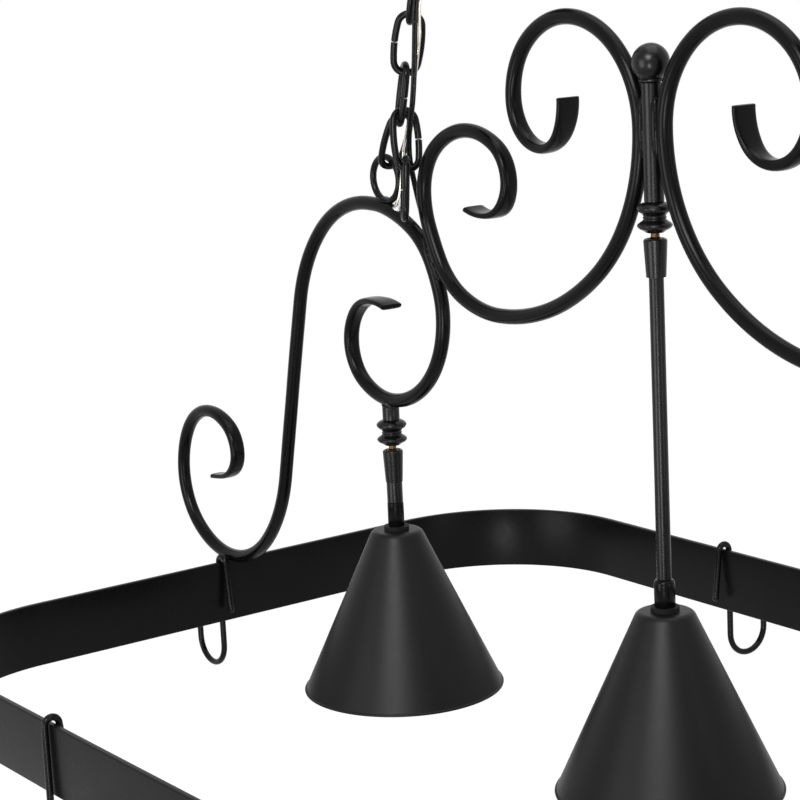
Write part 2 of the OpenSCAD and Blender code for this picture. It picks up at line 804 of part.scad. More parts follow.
canopy_left();
canopy_right();
mounting_bar_left();
mounting_bar_right();
ceiling_loop_left();
ceiling_loop_right();
canopy_bushing();
lead_top();
earth_top();
chain_left();
chain_right();
lead_chain();
earth_chain();
rim_band();
end_scroll_left();
end_scroll_right();
inner_scroll_left();
inner_scroll_right();
centre_post();
ball_finial();
hanging_ring_left();
hanging_ring_right();
collar_left();
collar_centre();
collar_right();
swivel_stud_left();
swivel_stud_centre();
swivel_stud_right();
lead_rack();
scroll_bushing();
earth_rack();
earth_screw();
swivel_cup_left();
swivel_cup_centre();
swivel_cup_right();
sleeve_left();
sleeve_centre();
sleeve_right();
stem_left();
stem_centre();
stem_right();
shade_cup_left();
shade_cup_centre();
shade_cup_right();
washer_left();
washer_centre();
washer_right();
shade_left();
shade_centre();
shade_right();
lampholder_left();
lampholder_centre();
lampholder_right();
hook_end_left();
hook_end_right();
hook_front_left();
hook_front_right();
hook_back_left();
hook_back_right();
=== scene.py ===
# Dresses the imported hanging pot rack: forged scrolls, chains, hooks, lamps, wires, finishes, light, camera.
# Lengths are in millimetres and heights count from the rim's top edge. piece() turns them into metres.
import math

import bmesh
import bpy
from mathutils import Matrix, Vector, noise


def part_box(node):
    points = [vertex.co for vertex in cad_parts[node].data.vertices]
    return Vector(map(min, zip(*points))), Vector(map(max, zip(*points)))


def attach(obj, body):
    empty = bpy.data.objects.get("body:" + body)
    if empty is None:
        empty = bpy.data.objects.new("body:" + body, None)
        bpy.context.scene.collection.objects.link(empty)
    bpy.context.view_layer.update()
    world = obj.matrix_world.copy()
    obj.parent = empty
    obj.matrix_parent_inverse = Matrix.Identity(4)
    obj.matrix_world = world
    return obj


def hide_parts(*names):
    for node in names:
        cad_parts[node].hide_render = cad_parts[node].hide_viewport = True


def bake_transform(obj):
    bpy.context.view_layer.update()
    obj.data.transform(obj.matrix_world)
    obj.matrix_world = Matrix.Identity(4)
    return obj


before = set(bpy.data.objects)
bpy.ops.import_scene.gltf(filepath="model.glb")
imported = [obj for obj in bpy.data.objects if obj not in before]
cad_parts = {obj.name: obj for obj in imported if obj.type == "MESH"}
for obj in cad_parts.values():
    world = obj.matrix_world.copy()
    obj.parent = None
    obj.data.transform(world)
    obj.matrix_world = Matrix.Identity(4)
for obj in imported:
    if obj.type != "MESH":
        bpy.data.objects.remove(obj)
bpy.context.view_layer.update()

MM = 0.001
RIM_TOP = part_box("rim_band")[1].z / MM  # height of the rim's top edge, from the ceiling
SIDES = (("left", -1), ("right", 1))
FIELD = 800.0  # width of the photograph's frame, in pixels


# ---------------------------------------------------------------- camera

# Fitted to the photograph: the place in mm with the height from the rim's top edge, the angles in degrees.
CAMERA_AT = (1083.97, -966.29, 507.32)
CAMERA_YAW, CAMERA_PITCH, CAMERA_ROLL = 54.7937, 11.3254, -2.799
FOCAL_PX, SENSOR = 2320.0, 36.0  # in pixels and in mm


def place_camera():
    yaw, pitch, roll = (math.radians(a) for a in (CAMERA_YAW, CAMERA_PITCH, CAMERA_ROLL))
    look = Vector((-math.sin(yaw) * math.cos(pitch), math.cos(yaw) * math.cos(pitch), -math.sin(pitch)))
    level = Vector((math.cos(yaw), math.sin(yaw), 0.0))
    upright = level.cross(look)
    right = math.cos(roll) * level + math.sin(roll) * upright
    up = math.cos(roll) * upright - math.sin(roll) * level
    data = bpy.data.cameras.new("camera")
    data.sensor_width = SENSOR
    data.lens = FOCAL_PX * SENSOR / FIELD
    data.clip_start, data.clip_end = 0.05, 60.0
    camera = bpy.data.objects.new("camera", data)
    bpy.context.scene.collection.objects.link(camera)
    turn = Matrix((right, up, -look)).transposed()
    x, y, z = CAMERA_AT
    camera.matrix_world = Matrix.Translation(Vector((x, y, z + RIM_TOP)) * MM) @ turn.to_4x4()
    bpy.context.scene.camera = camera


place_camera()


# ---------------------------------------------------------------- materials

class Look:
    """A material with a principled shader and helpers for procedural detail in object coordinates."""

    def __init__(self, name, color, roughness, metallic=0.0, specular=0.5, coat=0.0):
        self.material = bpy.data.materials.new(name)
        self.material.use_nodes = True
        self.tree = self.material.node_tree
        self.shader = self.tree.nodes["Principled BSDF"]
        self.shader.inputs["Base Color"].default_value = (*color, 1.0)
        self.shader.inputs["Roughness"].default_value = roughness
        self.shader.inputs["Metallic"].default_value = metallic
        self.shader.inputs["Specular IOR Level"].default_value = specular
        self.shader.inputs["Coat Weight"].default_value = coat
        self.where = self.node("ShaderNodeTexCoord").outputs["Object"]

    def node(self, kind, **values):
        made = self.tree.nodes.new(kind)
        for key, value in values.items():
            setattr(made, key, value)
        return made

    def join(self, a, b):
        self.tree.links.new(a, b)

    def noise(self, scale, detail=2.0, rough=0.5, stretch=None):
        """Noise with scale cells to the metre, stretched along the axes if stretch is given."""
        made = self.node("ShaderNodeTexNoise")
        made.inputs["Scale"].default_value = scale
        made.inputs["Detail"].default_value = detail
        made.inputs["Roughness"].default_value = rough
        source = self.where
        if stretch:
            mapping = self.node("ShaderNodeMapping")
            mapping.inputs["Scale"].default_value = stretch
            self.join(self.where, mapping.inputs["Vector"])
            source = mapping.outputs["Vector"]
        self.join(source, made.inputs["Vector"])
        return made.outputs["Fac"]

    def spread(self, fac, low, high, start=0.3, end=0.7):
        """Maps start to end onto low to high, and holds the ends."""
        made = self.node("ShaderNodeMapRange")
        self.join(fac, made.inputs["Value"])
        for key, value in (("From Min", start), ("From Max", end), ("To Min", low), ("To Max", high)):
            made.inputs[key].default_value = value
        return made.outputs["Result"]

    def mix(self, fac, a, b):
        """Colour between a and b, each a colour or a socket."""
        made = self.node("ShaderNodeMix", data_type="RGBA")
        self.join(fac, made.inputs["Factor"])
        for socket, value in ((made.inputs[6], a), (made.inputs[7], b)):
            if isinstance(value, tuple):
                socket.default_value = (*value, 1.0)
            else:
                self.join(value, socket)
        return made.outputs[2]

    def colour(self, socket):
        self.join(socket, self.shader.inputs["Base Color"])

    def roughness(self, socket):
        self.join(socket, self.shader.inputs["Roughness"])

    def bump(self, *layers):
        """Bump layers of (height, strength, distance in metres), one on top of the other."""
        last = None
        for height, strength, distance in layers:
            made = self.node("ShaderNodeBump")
            made.inputs["Strength"].default_value = strength
            made.inputs["Distance"].default_value = distance
            self.join(height, made.inputs["Height"])
            if last:
                self.join(last, made.inputs["Normal"])
            last = made.outputs["Normal"]
        self.join(last, self.shader.inputs["Normal"])


def black_paint(name, dark, light, roughness, specular, peel=0.08, forged=0.0, spun=False):
    """Black paint. peel is its own fine skin, forged the hammered iron below, spun the rings of spinning."""
    look = Look(name, dark, roughness, specular=specular)
    cloud = look.noise(7.0, 4.0)
    grain = look.noise(240.0, 3.0, 0.6)
    tone = look.mix(look.spread(cloud, 0.0, 1.0), dark, light)
    speck = look.spread(look.noise(520.0, 2.0, 0.7), 0.0, 0.35, 0.62, 0.78)
    speck_tone = tuple(2.2 * c for c in light)
    look.colour(look.mix(speck, tone, speck_tone))
    uneven = 0.02 if spun else 0.04
    look.roughness(look.spread(grain, roughness - uneven, roughness + uneven))
    layers = [(look.noise(700.0, 2.0), peel, 0.00003)]
    if forged:
        layers.append((look.noise(75.0, 1.5, 0.45), forged, 0.0009))
    if spun:
        layers.append((look.noise(1.0, 3.0, 0.75, stretch=(6.0, 6.0, 900.0)), 0.22, 0.0001))
    look.bump(*layers)
    return look.material


def metal(name, dark, light, roughness, scale=300.0, stretch=(1.0, 1.0, 6.0), anisotropic=0.0):
    """Bare or plated metal with stains and fine tool marks."""
    look = Look(name, dark, roughness, metallic=1.0)
    look.shader.inputs["Anisotropic"].default_value = anisotropic
    stain = look.noise(90.0, 4.0, 0.6)
    look.colour(look.mix(look.spread(stain, 0.0, 1.0), dark, light))
    fine = look.noise(scale, 3.0, 0.6, stretch=stretch)
    look.roughness(look.spread(fine, roughness - 0.07, roughness + 0.12))
    look.bump((fine, 0.12, 0.00005))
    return look.material


def plain(name, dark, light, roughness, specular=0.5, scale=160.0, coat=0.0, bump=0.1):
    """Enamel, porcelain, rubber or plastic, a little cloudy."""
    look = Look(name, dark, roughness, specular=specular, coat=coat)
    cloud = look.noise(scale, 4.0, 0.6)
    look.colour(look.mix(look.spread(cloud, 0.0, 1.0), dark, light))
    look.roughness(look.spread(look.noise(scale * 3.0, 2.0), roughness - 0.04, roughness + 0.08))
    look.bump((look.noise(scale * 8.0, 2.0), bump, 0.00006))
    return look.material


COAL, SOOT = (0.0013, 0.0013, 0.0014), (0.0028, 0.0028, 0.0030)
PAINT = black_paint("black_paint_forged", COAL, SOOT, 0.22, 0.088, forged=0.09)
PAINT_TURNED = black_paint("black_paint_turned", COAL, SOOT, 0.27, 0.20, peel=0.015)
PAINT_FLAT = black_paint("black_paint_band", (0.0016, 0.0016, 0.0017), (0.0036, 0.0036, 0.0038), 0.30, 0.085,
                         forged=0.04)
PAINT_SPUN = black_paint("black_paint_spun", (0.0018, 0.0018, 0.0019), (0.0036, 0.0036, 0.0038), 0.40, 0.155,
                         spun=True)
PAINT_WIRE = black_paint("black_paint_wire", (0.0014, 0.0014, 0.0015), (0.0032, 0.0032, 0.0034), 0.22, 0.12)
ENAMEL = plain("white_enamel", (0.74, 0.735, 0.71), (0.80, 0.795, 0.775), 0.30, coat=0.3, scale=40.0)
# Brass darkened far below its own colour: painted shade on the swivel necks in their gaps between collar and
# sleeve.
SHADED_BRASS = metal("turned_brass", (0.045, 0.030, 0.012), (0.15, 0.10, 0.04), 0.32, anisotropic=0.3)
SHELL = metal("socket_shell", (0.60, 0.47, 0.24), (0.74, 0.62, 0.38), 0.30)
ZINC = metal("zinc_plate", (0.52, 0.53, 0.54), (0.72, 0.73, 0.75), 0.32)
RUBBER = plain("black_rubber", (0.003, 0.003, 0.003), (0.006, 0.006, 0.006), 0.62, specular=0.12, bump=0.2)
JACKET = plain("lead_jacket", (0.0022, 0.0022, 0.0023), (0.0042, 0.0042, 0.0044), 0.30, specular=0.16)
TINNED = metal("tinned_copper", (0.56, 0.50, 0.40), (0.82, 0.79, 0.70), 0.30, scale=900.0,
               stretch=(3.0, 3.0, 1.0))
PORCELAIN = plain("glazed_porcelain", (0.74, 0.70, 0.60), (0.82, 0.79, 0.71), 0.18, coat=0.6, scale=60.0,
                  bump=0.05)


# ---------------------------------------------------------------- mesh helpers

def piece(name, shells, materials, body, replaced=(), sharp=38.0, raise_to_rim=True):
    """One object from shells of (points in mm, faces, material number), which moves with body and stands
    in for the replaced nodes."""
    points, faces, slots = [], [], []
    lift = RIM_TOP if raise_to_rim else 0.0
    for shell_points, shell_faces, number in shells:
        start = len(points)
        points += [(x * MM, y * MM, (z + lift) * MM) for x, y, z in shell_points]
        faces += [[start + i for i in face] for face in shell_faces]
        slots += [number] * len(shell_faces)
    mesh = bpy.data.meshes.new(name)
    mesh.from_pydata(points, [], faces)
    for material in materials:
        mesh.materials.append(material)
    for polygon, number in zip(mesh.polygons, slots):
        polygon.material_index = number
        polygon.use_smooth = True
    work = bmesh.new()
    work.from_mesh(mesh)
    bmesh.ops.recalc_face_normals(work, faces=work.faces)
    work.to_mesh(mesh)
    work.free()
    mesh.set_sharp_from_angle(angle=math.radians(sharp))
    made = bpy.data.objects.new(name, mesh)
    bpy.context.scene.collection.objects.link(made)
    if body:
        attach(made, body)
    if replaced:
        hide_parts(*replaced)
    return made


def skin(rings, closed=False):
    """Points and faces over rings of equal count, joined end to end if closed, else capped at both."""
    count, n = len(rings), len(rings[0])
    points = [p for ring in rings for p in ring]
    faces = []
    for i in range(count if closed else count - 1):
        for j in range(n):
            a, b = i * n + j, i * n + (j + 1) % n
            c, d = ((i + 1) % count) * n + (j + 1) % n, ((i + 1) % count) * n + j
            faces.append((a, b, c, d))
    if not closed:
        faces.append(tuple(range(n - 1, -1, -1)))
        faces.append(tuple((count - 1) * n + j for j in range(n)))
    return points, faces


AXIS_R = 0.0005  # stands for a radius of 0, so that no ring shrinks to a point


def about(centre, r, z, k, n):
    """The place of step k out of n round a plumb axis."""
    return (centre[0] + r * math.cos(math.tau * k / n), centre[1] + r * math.sin(math.tau * k / n), z)


def lathe(profile, centre=(0.0, 0.0), n=72):
    """Turns a profile of (radius, height) about a plumb axis. A radius of 0 closes it on the axis."""
    return skin([[about(centre, max(r, AXIS_R), z, j, n) for j in range(n)] for r, z in profile])


def ring_lathe(profile, centre=(0.0, 0.0), n=72):
    """Turns a closed profile that stays clear of the axis."""
    return skin([[about(centre, r, z, j, n) for r, z in profile] for j in range(n)], closed=True)


def smooth(points, steps):
    """Catmull-Rom curve through points of any dimension."""
    points = [Vector(p) for p in points]
    made = []
    for i in range(len(points) - 1):
        a, b = points[max(i - 1, 0)], points[i]
        c, d = points[i + 1], points[min(i + 2, len(points) - 1)]
        for k in range(steps):
            f = k / steps
            made.append(b + 0.5 * f * (c - a + f * (2 * a - 5 * b + 4 * c - d + f * (3 * (b - c) + d - a))))
    made.append(points[-1])
    return made


def tube(points, radius, n=14, round_ends=True, closed=False):
    """Round tube along points in space. radius is a number or a function of how far along it is, 0 to 1."""
    points = [Vector(p) for p in points]
    last = len(points) - 1
    size = radius if callable(radius) else (lambda f: radius)
    ways = []
    for i in range(last + 1):
        before = points[i - 1] if i > 0 or closed else points[0]
        after = points[(i + 1) % (last + 1)] if i < last or closed else points[last]
        ways.append((after - before).normalized())
    side = ways[0].orthogonal().normalized()
    if abs(ways[0].y) < 0.9:
        side = ways[0].cross(Vector((0, 1, 0))).normalized()
    rings = []
    for i, way in enumerate(ways):
        side = (side - side.dot(way) * way).normalized()
        over = way.cross(side)
        r = size(i / last)
        turns = [math.tau * j / n for j in range(n)]
        rings.append([tuple(points[i] + r * (math.cos(a) * side + math.sin(a) * over)) for a in turns])
    if closed:
        return skin(rings, closed=True)
    if round_ends:
        def dome(ring, centre, way, r, order):
            made = []
            for a in (30.0, 60.0, 84.0):
                c, s = math.cos(math.radians(a)), math.sin(math.radians(a))
                made.append([tuple(centre + c * (Vector(p) - centre) + s * r * way) for p in ring])
            return made if order else made[::-1]
        rings = (dome(rings[0], points[0], -ways[0], size(0.0), False) + rings
                 + dome(rings[-1], points[-1], ways[-1], size(1.0), True))
    return skin(rings)


def mirrored(shell, flip):
    """A shell, or its mirror image across the rack's middle. flip is -1 for the left side, as drawn."""
    if flip < 0:
        return shell
    points, faces, number = shell
    return [(-x, y, z) for x, y, z in points], faces, number


def moved(shell, change):
    """A shell with every point put where change puts it."""
    points, faces, number = shell
    return [tuple(change(Vector(p))) for p in points], faces, number


# ---------------------------------------------------------------- panel, with the part's own values

BAND_T, BAND_H = 4.8, 50.8
RIM_L, RIM_W, CORNER_R = 1080.0, 612.0, 125.0
BAR_R, TIP_W, TIP_T, SINK = 5.25, 18.0, 4.0, 0.4
ARCH_X, ARCH_Z, CREST_Z, BOWL_Z, TOUCH_Z = 315.0, 315.5, 451.0, 247.5, 382.0
WELD_X, WELD_Z, WELD_SLOPE = 234.0, 280.0, 62.0
RING_SLOPE = 12.0  # the arch's slope under the hanging ring
POST_R, POST_FOOT, POST_TOP = 6.35, 336.3, 411.0
BALL_R, SEAT_H, BALL_SINK = 12.0, 2.0, 2.0
LAMP_X, LAMP_BAR_Z, STUB_L = 298.0, 170.3, 10.3
LAMPS = (("left", -LAMP_X), ("centre", 0.0), ("right", LAMP_X))
FOOT_X = -RIM_L / 2 - BAND_T / 2


def toward(degrees):
    """Unit vector in a plane, counted from its first axis."""
    return Vector((math.cos(math.radians(degrees)), math.sin(math.radians(degrees))))


def left_of(v):
    return Vector((-v.y, v.x))


def arc(p, t, q):
    """Line or arc that leaves p along t and ends at q."""
    chord = q - p
    off = chord.dot(left_of(t))
    if abs(off) < 0.0001:
        return ("line", p, q)
    r = chord.dot(chord) / (2 * off)
    centre = p + r * left_of(t)
    spoke = p - centre
    return ("arc", centre, abs(r), math.atan2(spoke.y, spoke.x), 2 * math.atan2(off, chord.dot(t)))


def biarc(a, b):
    """Two tangent arcs between nodes of (x, z, direction in degrees), as in the part's source."""
    p, q = Vector(a[:2]), Vector(b[:2])
    t, u = toward(a[2]), toward(b[2])
    chord = q - p
    k, m = 2 * (1 - t.dot(u)), chord.dot(t + u)
    if abs(k) < 0.0001:
        reach = chord.dot(chord) / (4 * chord.dot(u))
    else:
        reach = (math.sqrt(m * m + k * chord.dot(chord)) - m) / k
    middle = (p + q + reach * (t - u)) / 2
    first = arc(p, t, middle)
    turn = a[2] + (math.degrees(first[4]) if first[0] == "arc" else 0.0)
    return [first, arc(middle, toward(turn), q)]


def length(segment):
    return (segment[2] - segment[1]).length if segment[0] == "line" else segment[2] * abs(segment[4])


def along(segment, f):
    """Place and direction at the fraction f of a segment."""
    if segment[0] == "line":
        return segment[1].lerp(segment[2], f), (segment[2] - segment[1]).normalized()
    _, centre, r, start, sweep = segment
    a = start + f * sweep
    spoke = Vector((math.cos(a), math.sin(a)))
    return centre + r * spoke, left_of(spoke) * (1 if sweep > 0 else -1)


ring_seat = Vector((-ARCH_X + 21, ARCH_Z - 1.6))
weld_way = toward(-WELD_SLOPE)
weld_half = (BAR_R - SINK / 2) * left_of(weld_way)
end_weld = Vector((-WELD_X, WELD_Z)) - weld_half
inner_weld = Vector((-WELD_X, WELD_Z)) + weld_half
END_SCROLL = [
    (FOOT_X - 14.5, 70.8, 6), (FOOT_X + 1.5, 73, 12), (FOOT_X + 21, 95, 90), (FOOT_X - 18, 125, 180),
    (FOOT_X - 69, 66, 270), (FOOT_X, BAR_R - SINK, 360), (FOOT_X + 93, 86, 436),
    (-ARCH_X - 98, ARCH_Z - 82.5, 435.5), (-ARCH_X, ARCH_Z, 360),
    (ring_seat.x, ring_seat.y, 360 - RING_SLOPE),
    (end_weld.x, end_weld.y, 360 - WELD_SLOPE), (-ARCH_X + 87.5, ARCH_Z - 75.5, 270),
    (-LAMP_X, LAMP_BAR_Z, 180), (-LAMP_X - 47, LAMP_BAR_Z + 38, 90),
    (-LAMP_X - 16, LAMP_BAR_Z + 73, 5), (-LAMP_X + 7.5, LAMP_BAR_Z + 70.5, -20),
]
INNER_SCROLL = [
    (-WELD_X + 47, WELD_Z + 40, -22), (-WELD_X + 69.5, WELD_Z + 37, 8), (-WELD_X + 88, WELD_Z + 60.5, 90),
    (-WELD_X + 44, WELD_Z + 93.5, 180), (-WELD_X - 9.5, WELD_Z + 46, 270),
    (inner_weld.x, inner_weld.y, 360 - WELD_SLOPE), (-163, BOWL_Z, 360),
    (-(POST_R + BAR_R - SINK), TOUCH_Z, 450), (-80, CREST_Z, 540), (-137.5, CREST_Z - 53, 630),
    (-107, CREST_Z - 86, 720), (-81, CREST_Z - 52, 812),
]


def bulge(v, power):
    """Squares a round section off as power falls below 1."""
    return math.copysign(abs(v) ** power, v)


DRAWN_L, DRAWN_FULL, DRAWN_W, DRAWN_T = 128.0, 60.0, 12.2, 7.6  # the long stretch that is drawn out first
BLADE_L, BLADE_FULL = 60.0, 5.0  # the last stretch, which is hammered out to the blade
FOOT_TIP_W = 13.0  # the blade beside the rim is narrower than the others
UNEVEN = 0.012  # share of the bar's radius that hand work leaves uneven
END_SOFT, END_PROUD = 0.7, 0.4  # rounding of the blade's end


def eased(f):
    """Smooth step from 0 to 1."""
    f = min(1.0, max(0.0, f))
    return f * f * (3 - 2 * f)


def forged_section(at, way, from_end, tip_w, seed, n=28, shrink=0.0):
    """Ring of points round the bar: round far from its end, a flat blade at the end, a little uneven."""
    drawn = eased((DRAWN_L - from_end) / (DRAWN_L - DRAWN_FULL))
    blade = eased((BLADE_L - from_end) / (BLADE_L - BLADE_FULL))
    thick = BAR_R + (DRAWN_T / 2 - BAR_R) * drawn + (TIP_T - DRAWN_T) / 2 * blade - shrink
    wide = BAR_R + (DRAWN_W / 2 - BAR_R) * drawn + (tip_w - DRAWN_W) / 2 * blade - shrink
    power = 1 - 0.30 * drawn - 0.18 * blade  # squarer the more it is hammered
    side = left_of(way)
    ring = []
    for j in range(n):
        a = math.tau * j / n
        here = Vector((at.x * 0.035, at.y * 0.035, j * 0.22 + seed))
        uneven = 1.0 + UNEVEN * noise.noise(here)
        p = at + side * (thick * uneven * bulge(math.cos(a), power))
        ring.append((p.x, wide * uneven * bulge(math.sin(a), power), p.y))
    return ring


def scroll_shell(nodes, tip_ws, seed, step=2.6):
    """One bent bar through nodes, with a blade of its own width at either end."""
    segments = [s for a, b in zip(nodes, nodes[1:]) for s in biarc(a, b)]
    total = sum(length(s) for s in segments)
    rings, run = [], 0.0
    for segment in segments:
        count = max(3, round(length(segment) / step))
        for k in range(count + (segment is segments[-1])):
            at, way = along(segment, k / count)
            here = run + length(segment) * k / count
            rings.append(forged_section(at, way, min(here, total - here), tip_ws[here > total / 2], seed))
        run += length(segment)
    first, first_way = along(segments[0], 0.0)
    last, last_way = along(segments[-1], 1.0)
    start = forged_section(first - first_way * END_PROUD, first_way, 0.0, tip_ws[0], seed, shrink=END_SOFT)
    end = forged_section(last + last_way * END_PROUD, last_way, 0.0, tip_ws[1], seed, shrink=END_SOFT)
    return skin([start] + rings + [end])


scrolls = (("end_scroll", END_SCROLL, (FOOT_TIP_W, TIP_W)), ("inner_scroll", INNER_SCROLL, (TIP_W, TIP_W)))
for seed, (name, nodes, tip_ws) in enumerate(scrolls):
    for side, flip in SIDES:
        shell = (*scroll_shell(nodes, tip_ws, 3.7 * seed + flip), 0)
        piece(f"forged_{name}_{side}", [mirrored(shell, flip)], [PAINT], "rack",
              [f"{name}_{side}"], sharp=50)


def bead(start, end, radius, seed):
    """Dressed weld between two points: a low fill that tapers at both ends."""
    start, end = Vector(start), Vector(end)
    steps = max(10, round((end - start).length / 0.9))

    def size(f):
        swell = math.sin(math.pi * min(1.0, max(0.0, f))) ** 0.6
        return radius * (0.35 + 0.65 * swell) * (1.0 + 0.07 * noise.noise(Vector((9.0 * f, seed, 0.5))))
    return (*tube([start.lerp(end, k / steps) for k in range(steps + 1)], size, n=16), 0)


POST_WELD_R, CURL_WELD_R, SMALL_WELD_R = 4.1, 4.0, 1.9


def rack_welds():
    shells = []
    for side, flip in SIDES:
        for face in (-1, 1):
            # post to inner scroll, in the groove on either face
            top, low = (flip * 6.0, face * 2.6, TOUCH_Z + 19), (flip * 6.4, face * 2.6, TOUCH_Z - 17)
            shells.append(bead(top, low, POST_WELD_R, flip))
            # end scroll to inner scroll
            at = Vector((-WELD_X, WELD_Z))
            a, b = at - weld_way * 17, at + weld_way * 15
            shells.append(bead((-flip * a.x, face * 2.2, a.y), (-flip * b.x, face * 2.2, b.y),
                               CURL_WELD_R, 1 + flip))
            # ring to arch
            foot = ring_seat + BAR_R * toward(90 - RING_SLOPE)
            a, b = foot - 5.0 * toward(-RING_SLOPE), foot + 5.0 * toward(-RING_SLOPE)
            shells.append(bead((-flip * a.x, face * 2.3, a.y + 0.4), (-flip * b.x, face * 2.3, b.y + 0.4),
                               SMALL_WELD_R, 2.0))
        # foot of the end scroll to the rim's top edge, inside and outside the band
        for x in (FOOT_X - 2.6, FOOT_X + 2.6):
            shells.append(bead((-flip * x, -5.2, 0.4), (-flip * x, 5.2, 0.4), SMALL_WELD_R, 3.0))
    return shells


piece("weld_beads", rack_welds(), [PAINT], "rack", sharp=60)


# ---------------------------------------------------------------- rim

RIM_WAVE = 0.35  # how far the bar wanders in and out


def rim_shell():
    """The flat bar round the rack, a little wavy as it comes off the bending rolls."""
    half_t, half_h, soft = BAND_T / 2, BAND_H / 2, 1.1  # soft rounds the bar's edges
    section = []
    for cx, cz, start in ((half_t - soft, half_h - soft, 0), (soft - half_t, half_h - soft, 90),
                          (soft - half_t, soft - half_h, 180), (half_t - soft, soft - half_h, 270)):
        for k in range(5):
            d = toward(start + 22.5 * k)
            section.append((cx + soft * d.x, cz + soft * d.y))
    a, b, r = RIM_L / 2 - CORNER_R, RIM_W / 2 - CORNER_R, CORNER_R + half_t
    path = []
    for cx, cy, start in ((a, b, 0), (-a, b, 90), (-a, -b, 180), (a, -b, 270)):
        for k in range(33):
            d = toward(start + 90 * k / 32)
            path.append((Vector((cx, cy)) + r * d, d))
        next_corner = {0: (-a, b), 90: (-a, -b), 180: (a, -b), 270: (a, b)}[start]
        d = toward(start + 90)
        here, there = Vector((cx, cy)) + r * d, Vector(next_corner) + r * d
        for k in range(1, 24):
            path.append((here.lerp(there, k / 24), d))
    rings = []
    for at, out in path:
        wave = RIM_WAVE * noise.noise(Vector((at.x * 0.006, at.y * 0.006, 2.0)))
        rings.append([(*(at + out * (s + wave)), z - half_h) for s, z in section])
    return (*skin(rings, closed=True), 0)


piece("flat_bar_rim", [rim_shell()], [PAINT_FLAT], "rack", ["rim_band"], sharp=60)


# ---------------------------------------------------------------- post, finial, rings

def circle_points(centre, r, n=72):
    """Circle in the panel's plane."""
    turns = [math.tau * k / n for k in range(n)]
    return [(centre[0] + r * math.cos(a), 0.0, centre[1] + r * math.sin(a)) for a in turns]


post_profile = [(0, POST_FOOT), (POST_R - 0.5, POST_FOOT), (POST_R, POST_FOOT + 0.6),
                (POST_R, POST_TOP - 0.6), (POST_R - 0.5, POST_TOP), (0, POST_TOP)]
piece("post", [(*lathe(post_profile), 0)], [PAINT_TURNED], "rack", ["centre_post"])
ball_mid = POST_TOP + SEAT_H + BALL_R - BALL_SINK
ball_profile = [(0, POST_TOP), (7.2, POST_TOP), (7.85, POST_TOP + 0.5), (7.85, POST_TOP + 1.4),
                (7.2, POST_TOP + SEAT_H)]
for angle in range(40, 181, 4):
    rise = math.radians(angle)
    ball_profile.append((BALL_R * math.sin(rise), ball_mid - BALL_R * math.cos(rise)))
piece("ball_on_post", [(*lathe(ball_profile), 0)], [PAINT_TURNED], "rack", ["ball_finial"],
      sharp=50)

RING_R, WIRE_R, PLAY = 16.0, 2.5, 0.3
RING_SINK = 2.6  # how far the ring is let into the arch
ring_c = ring_seat + (BAR_R + RING_R + WIRE_R - RING_SINK) * toward(90 - RING_SLOPE)
for side, flip in SIDES:
    shell = (*tube(circle_points(ring_c, RING_R), WIRE_R, n=16, closed=True), 0)
    piece(f"ring_{side}", [mirrored(shell, flip)], [PAINT_WIRE], "rack",
          [f"hanging_ring_{side}"])


# ---------------------------------------------------------------- chains

LINK_W, BOW_R, PITCH, SLACK = 24.0, 8.6, 36.83, 0.8  # width, bend of the bows, spacing, play between links
REACH = PITCH + 2 * WIRE_R + SLACK  # over the middle lines of both bows
BUTT = 0.9  # open joint of the wire's ends
FLANK_X, BOW_Z = LINK_W / 2 - WIRE_R, REACH / 2 - BOW_R
FLANK_R = (BOW_Z ** 2 + FLANK_X ** 2 - BOW_R ** 2) / (2 * (FLANK_X - BOW_R))
FLANK_END = math.atan2(BOW_Z, FLANK_R - FLANK_X)
LOWEST_LEAN = 27.0
LINK_TURN = (86, -27, 230, 135, 75.5)  # of each link about its own length, from the ring up
SECOND_OFF = (-0.13, -0.57, -1.25)  # from the lowest link's top bow to the next foot, in wire thicknesses
SPARE_OFF = (0.85, -0.35, 0.68)  # from the lowest link's top bow to the spare link's, in wire thicknesses
SPARE_TILT, SPARE_LEAN, SPARE_TURN = -8.0, -15.0, 78
LAST_OFF = (-1.45, -1.4, 7.45)  # in mm, from the spare link's foot to the top bow of the last one in it
LAST_TILT, LAST_LEAN, LAST_TURN = -10.3, -9.0, 150
LOOP_R = 11.0
CUT_EDGE = 0.3  # chamfer of the wire's cut ends
loop_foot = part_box("ceiling_loop_left")[0].z / MM - RIM_TOP
canopy_x = (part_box("canopy_left")[0].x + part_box("canopy_left")[1].x) / 2 / MM
loop_c = Vector((canopy_x, 0, loop_foot + WIRE_R + LOOP_R))


def half_link(start, end):
    """From the middle of one flank over a bow to the middle of the other. start and end are left open."""
    whole = FLANK_END * FLANK_R

    def flank(first):
        edge = [first, first + CUT_EDGE] if first else [first]
        runs = edge + [first + (whole - first) * k / 6 for k in range(1, 7)]
        turns = [run / FLANK_R for run in runs]
        return [(FLANK_X - FLANK_R + FLANK_R * math.cos(a), FLANK_R * math.sin(a)) for a in turns]

    bow = [FLANK_END + (math.pi - 2 * FLANK_END) * k / 22 for k in range(1, 22)]
    points = [Vector((x, 0, z)) for x, z in flank(start)]
    points += [Vector((BOW_R * math.cos(a), 0, BOW_Z + BOW_R * math.sin(a))) for a in bow]
    return points + [Vector((-x, 0, z)) for x, z in reversed(flank(end))]


def link_way(tilt, lean):
    """Turns a standing link to its tilt across the panel and its lean along it."""
    return Matrix.Rotation(math.radians(lean), 3, "Y") @ Matrix.Rotation(math.radians(tilt), 3, "X")


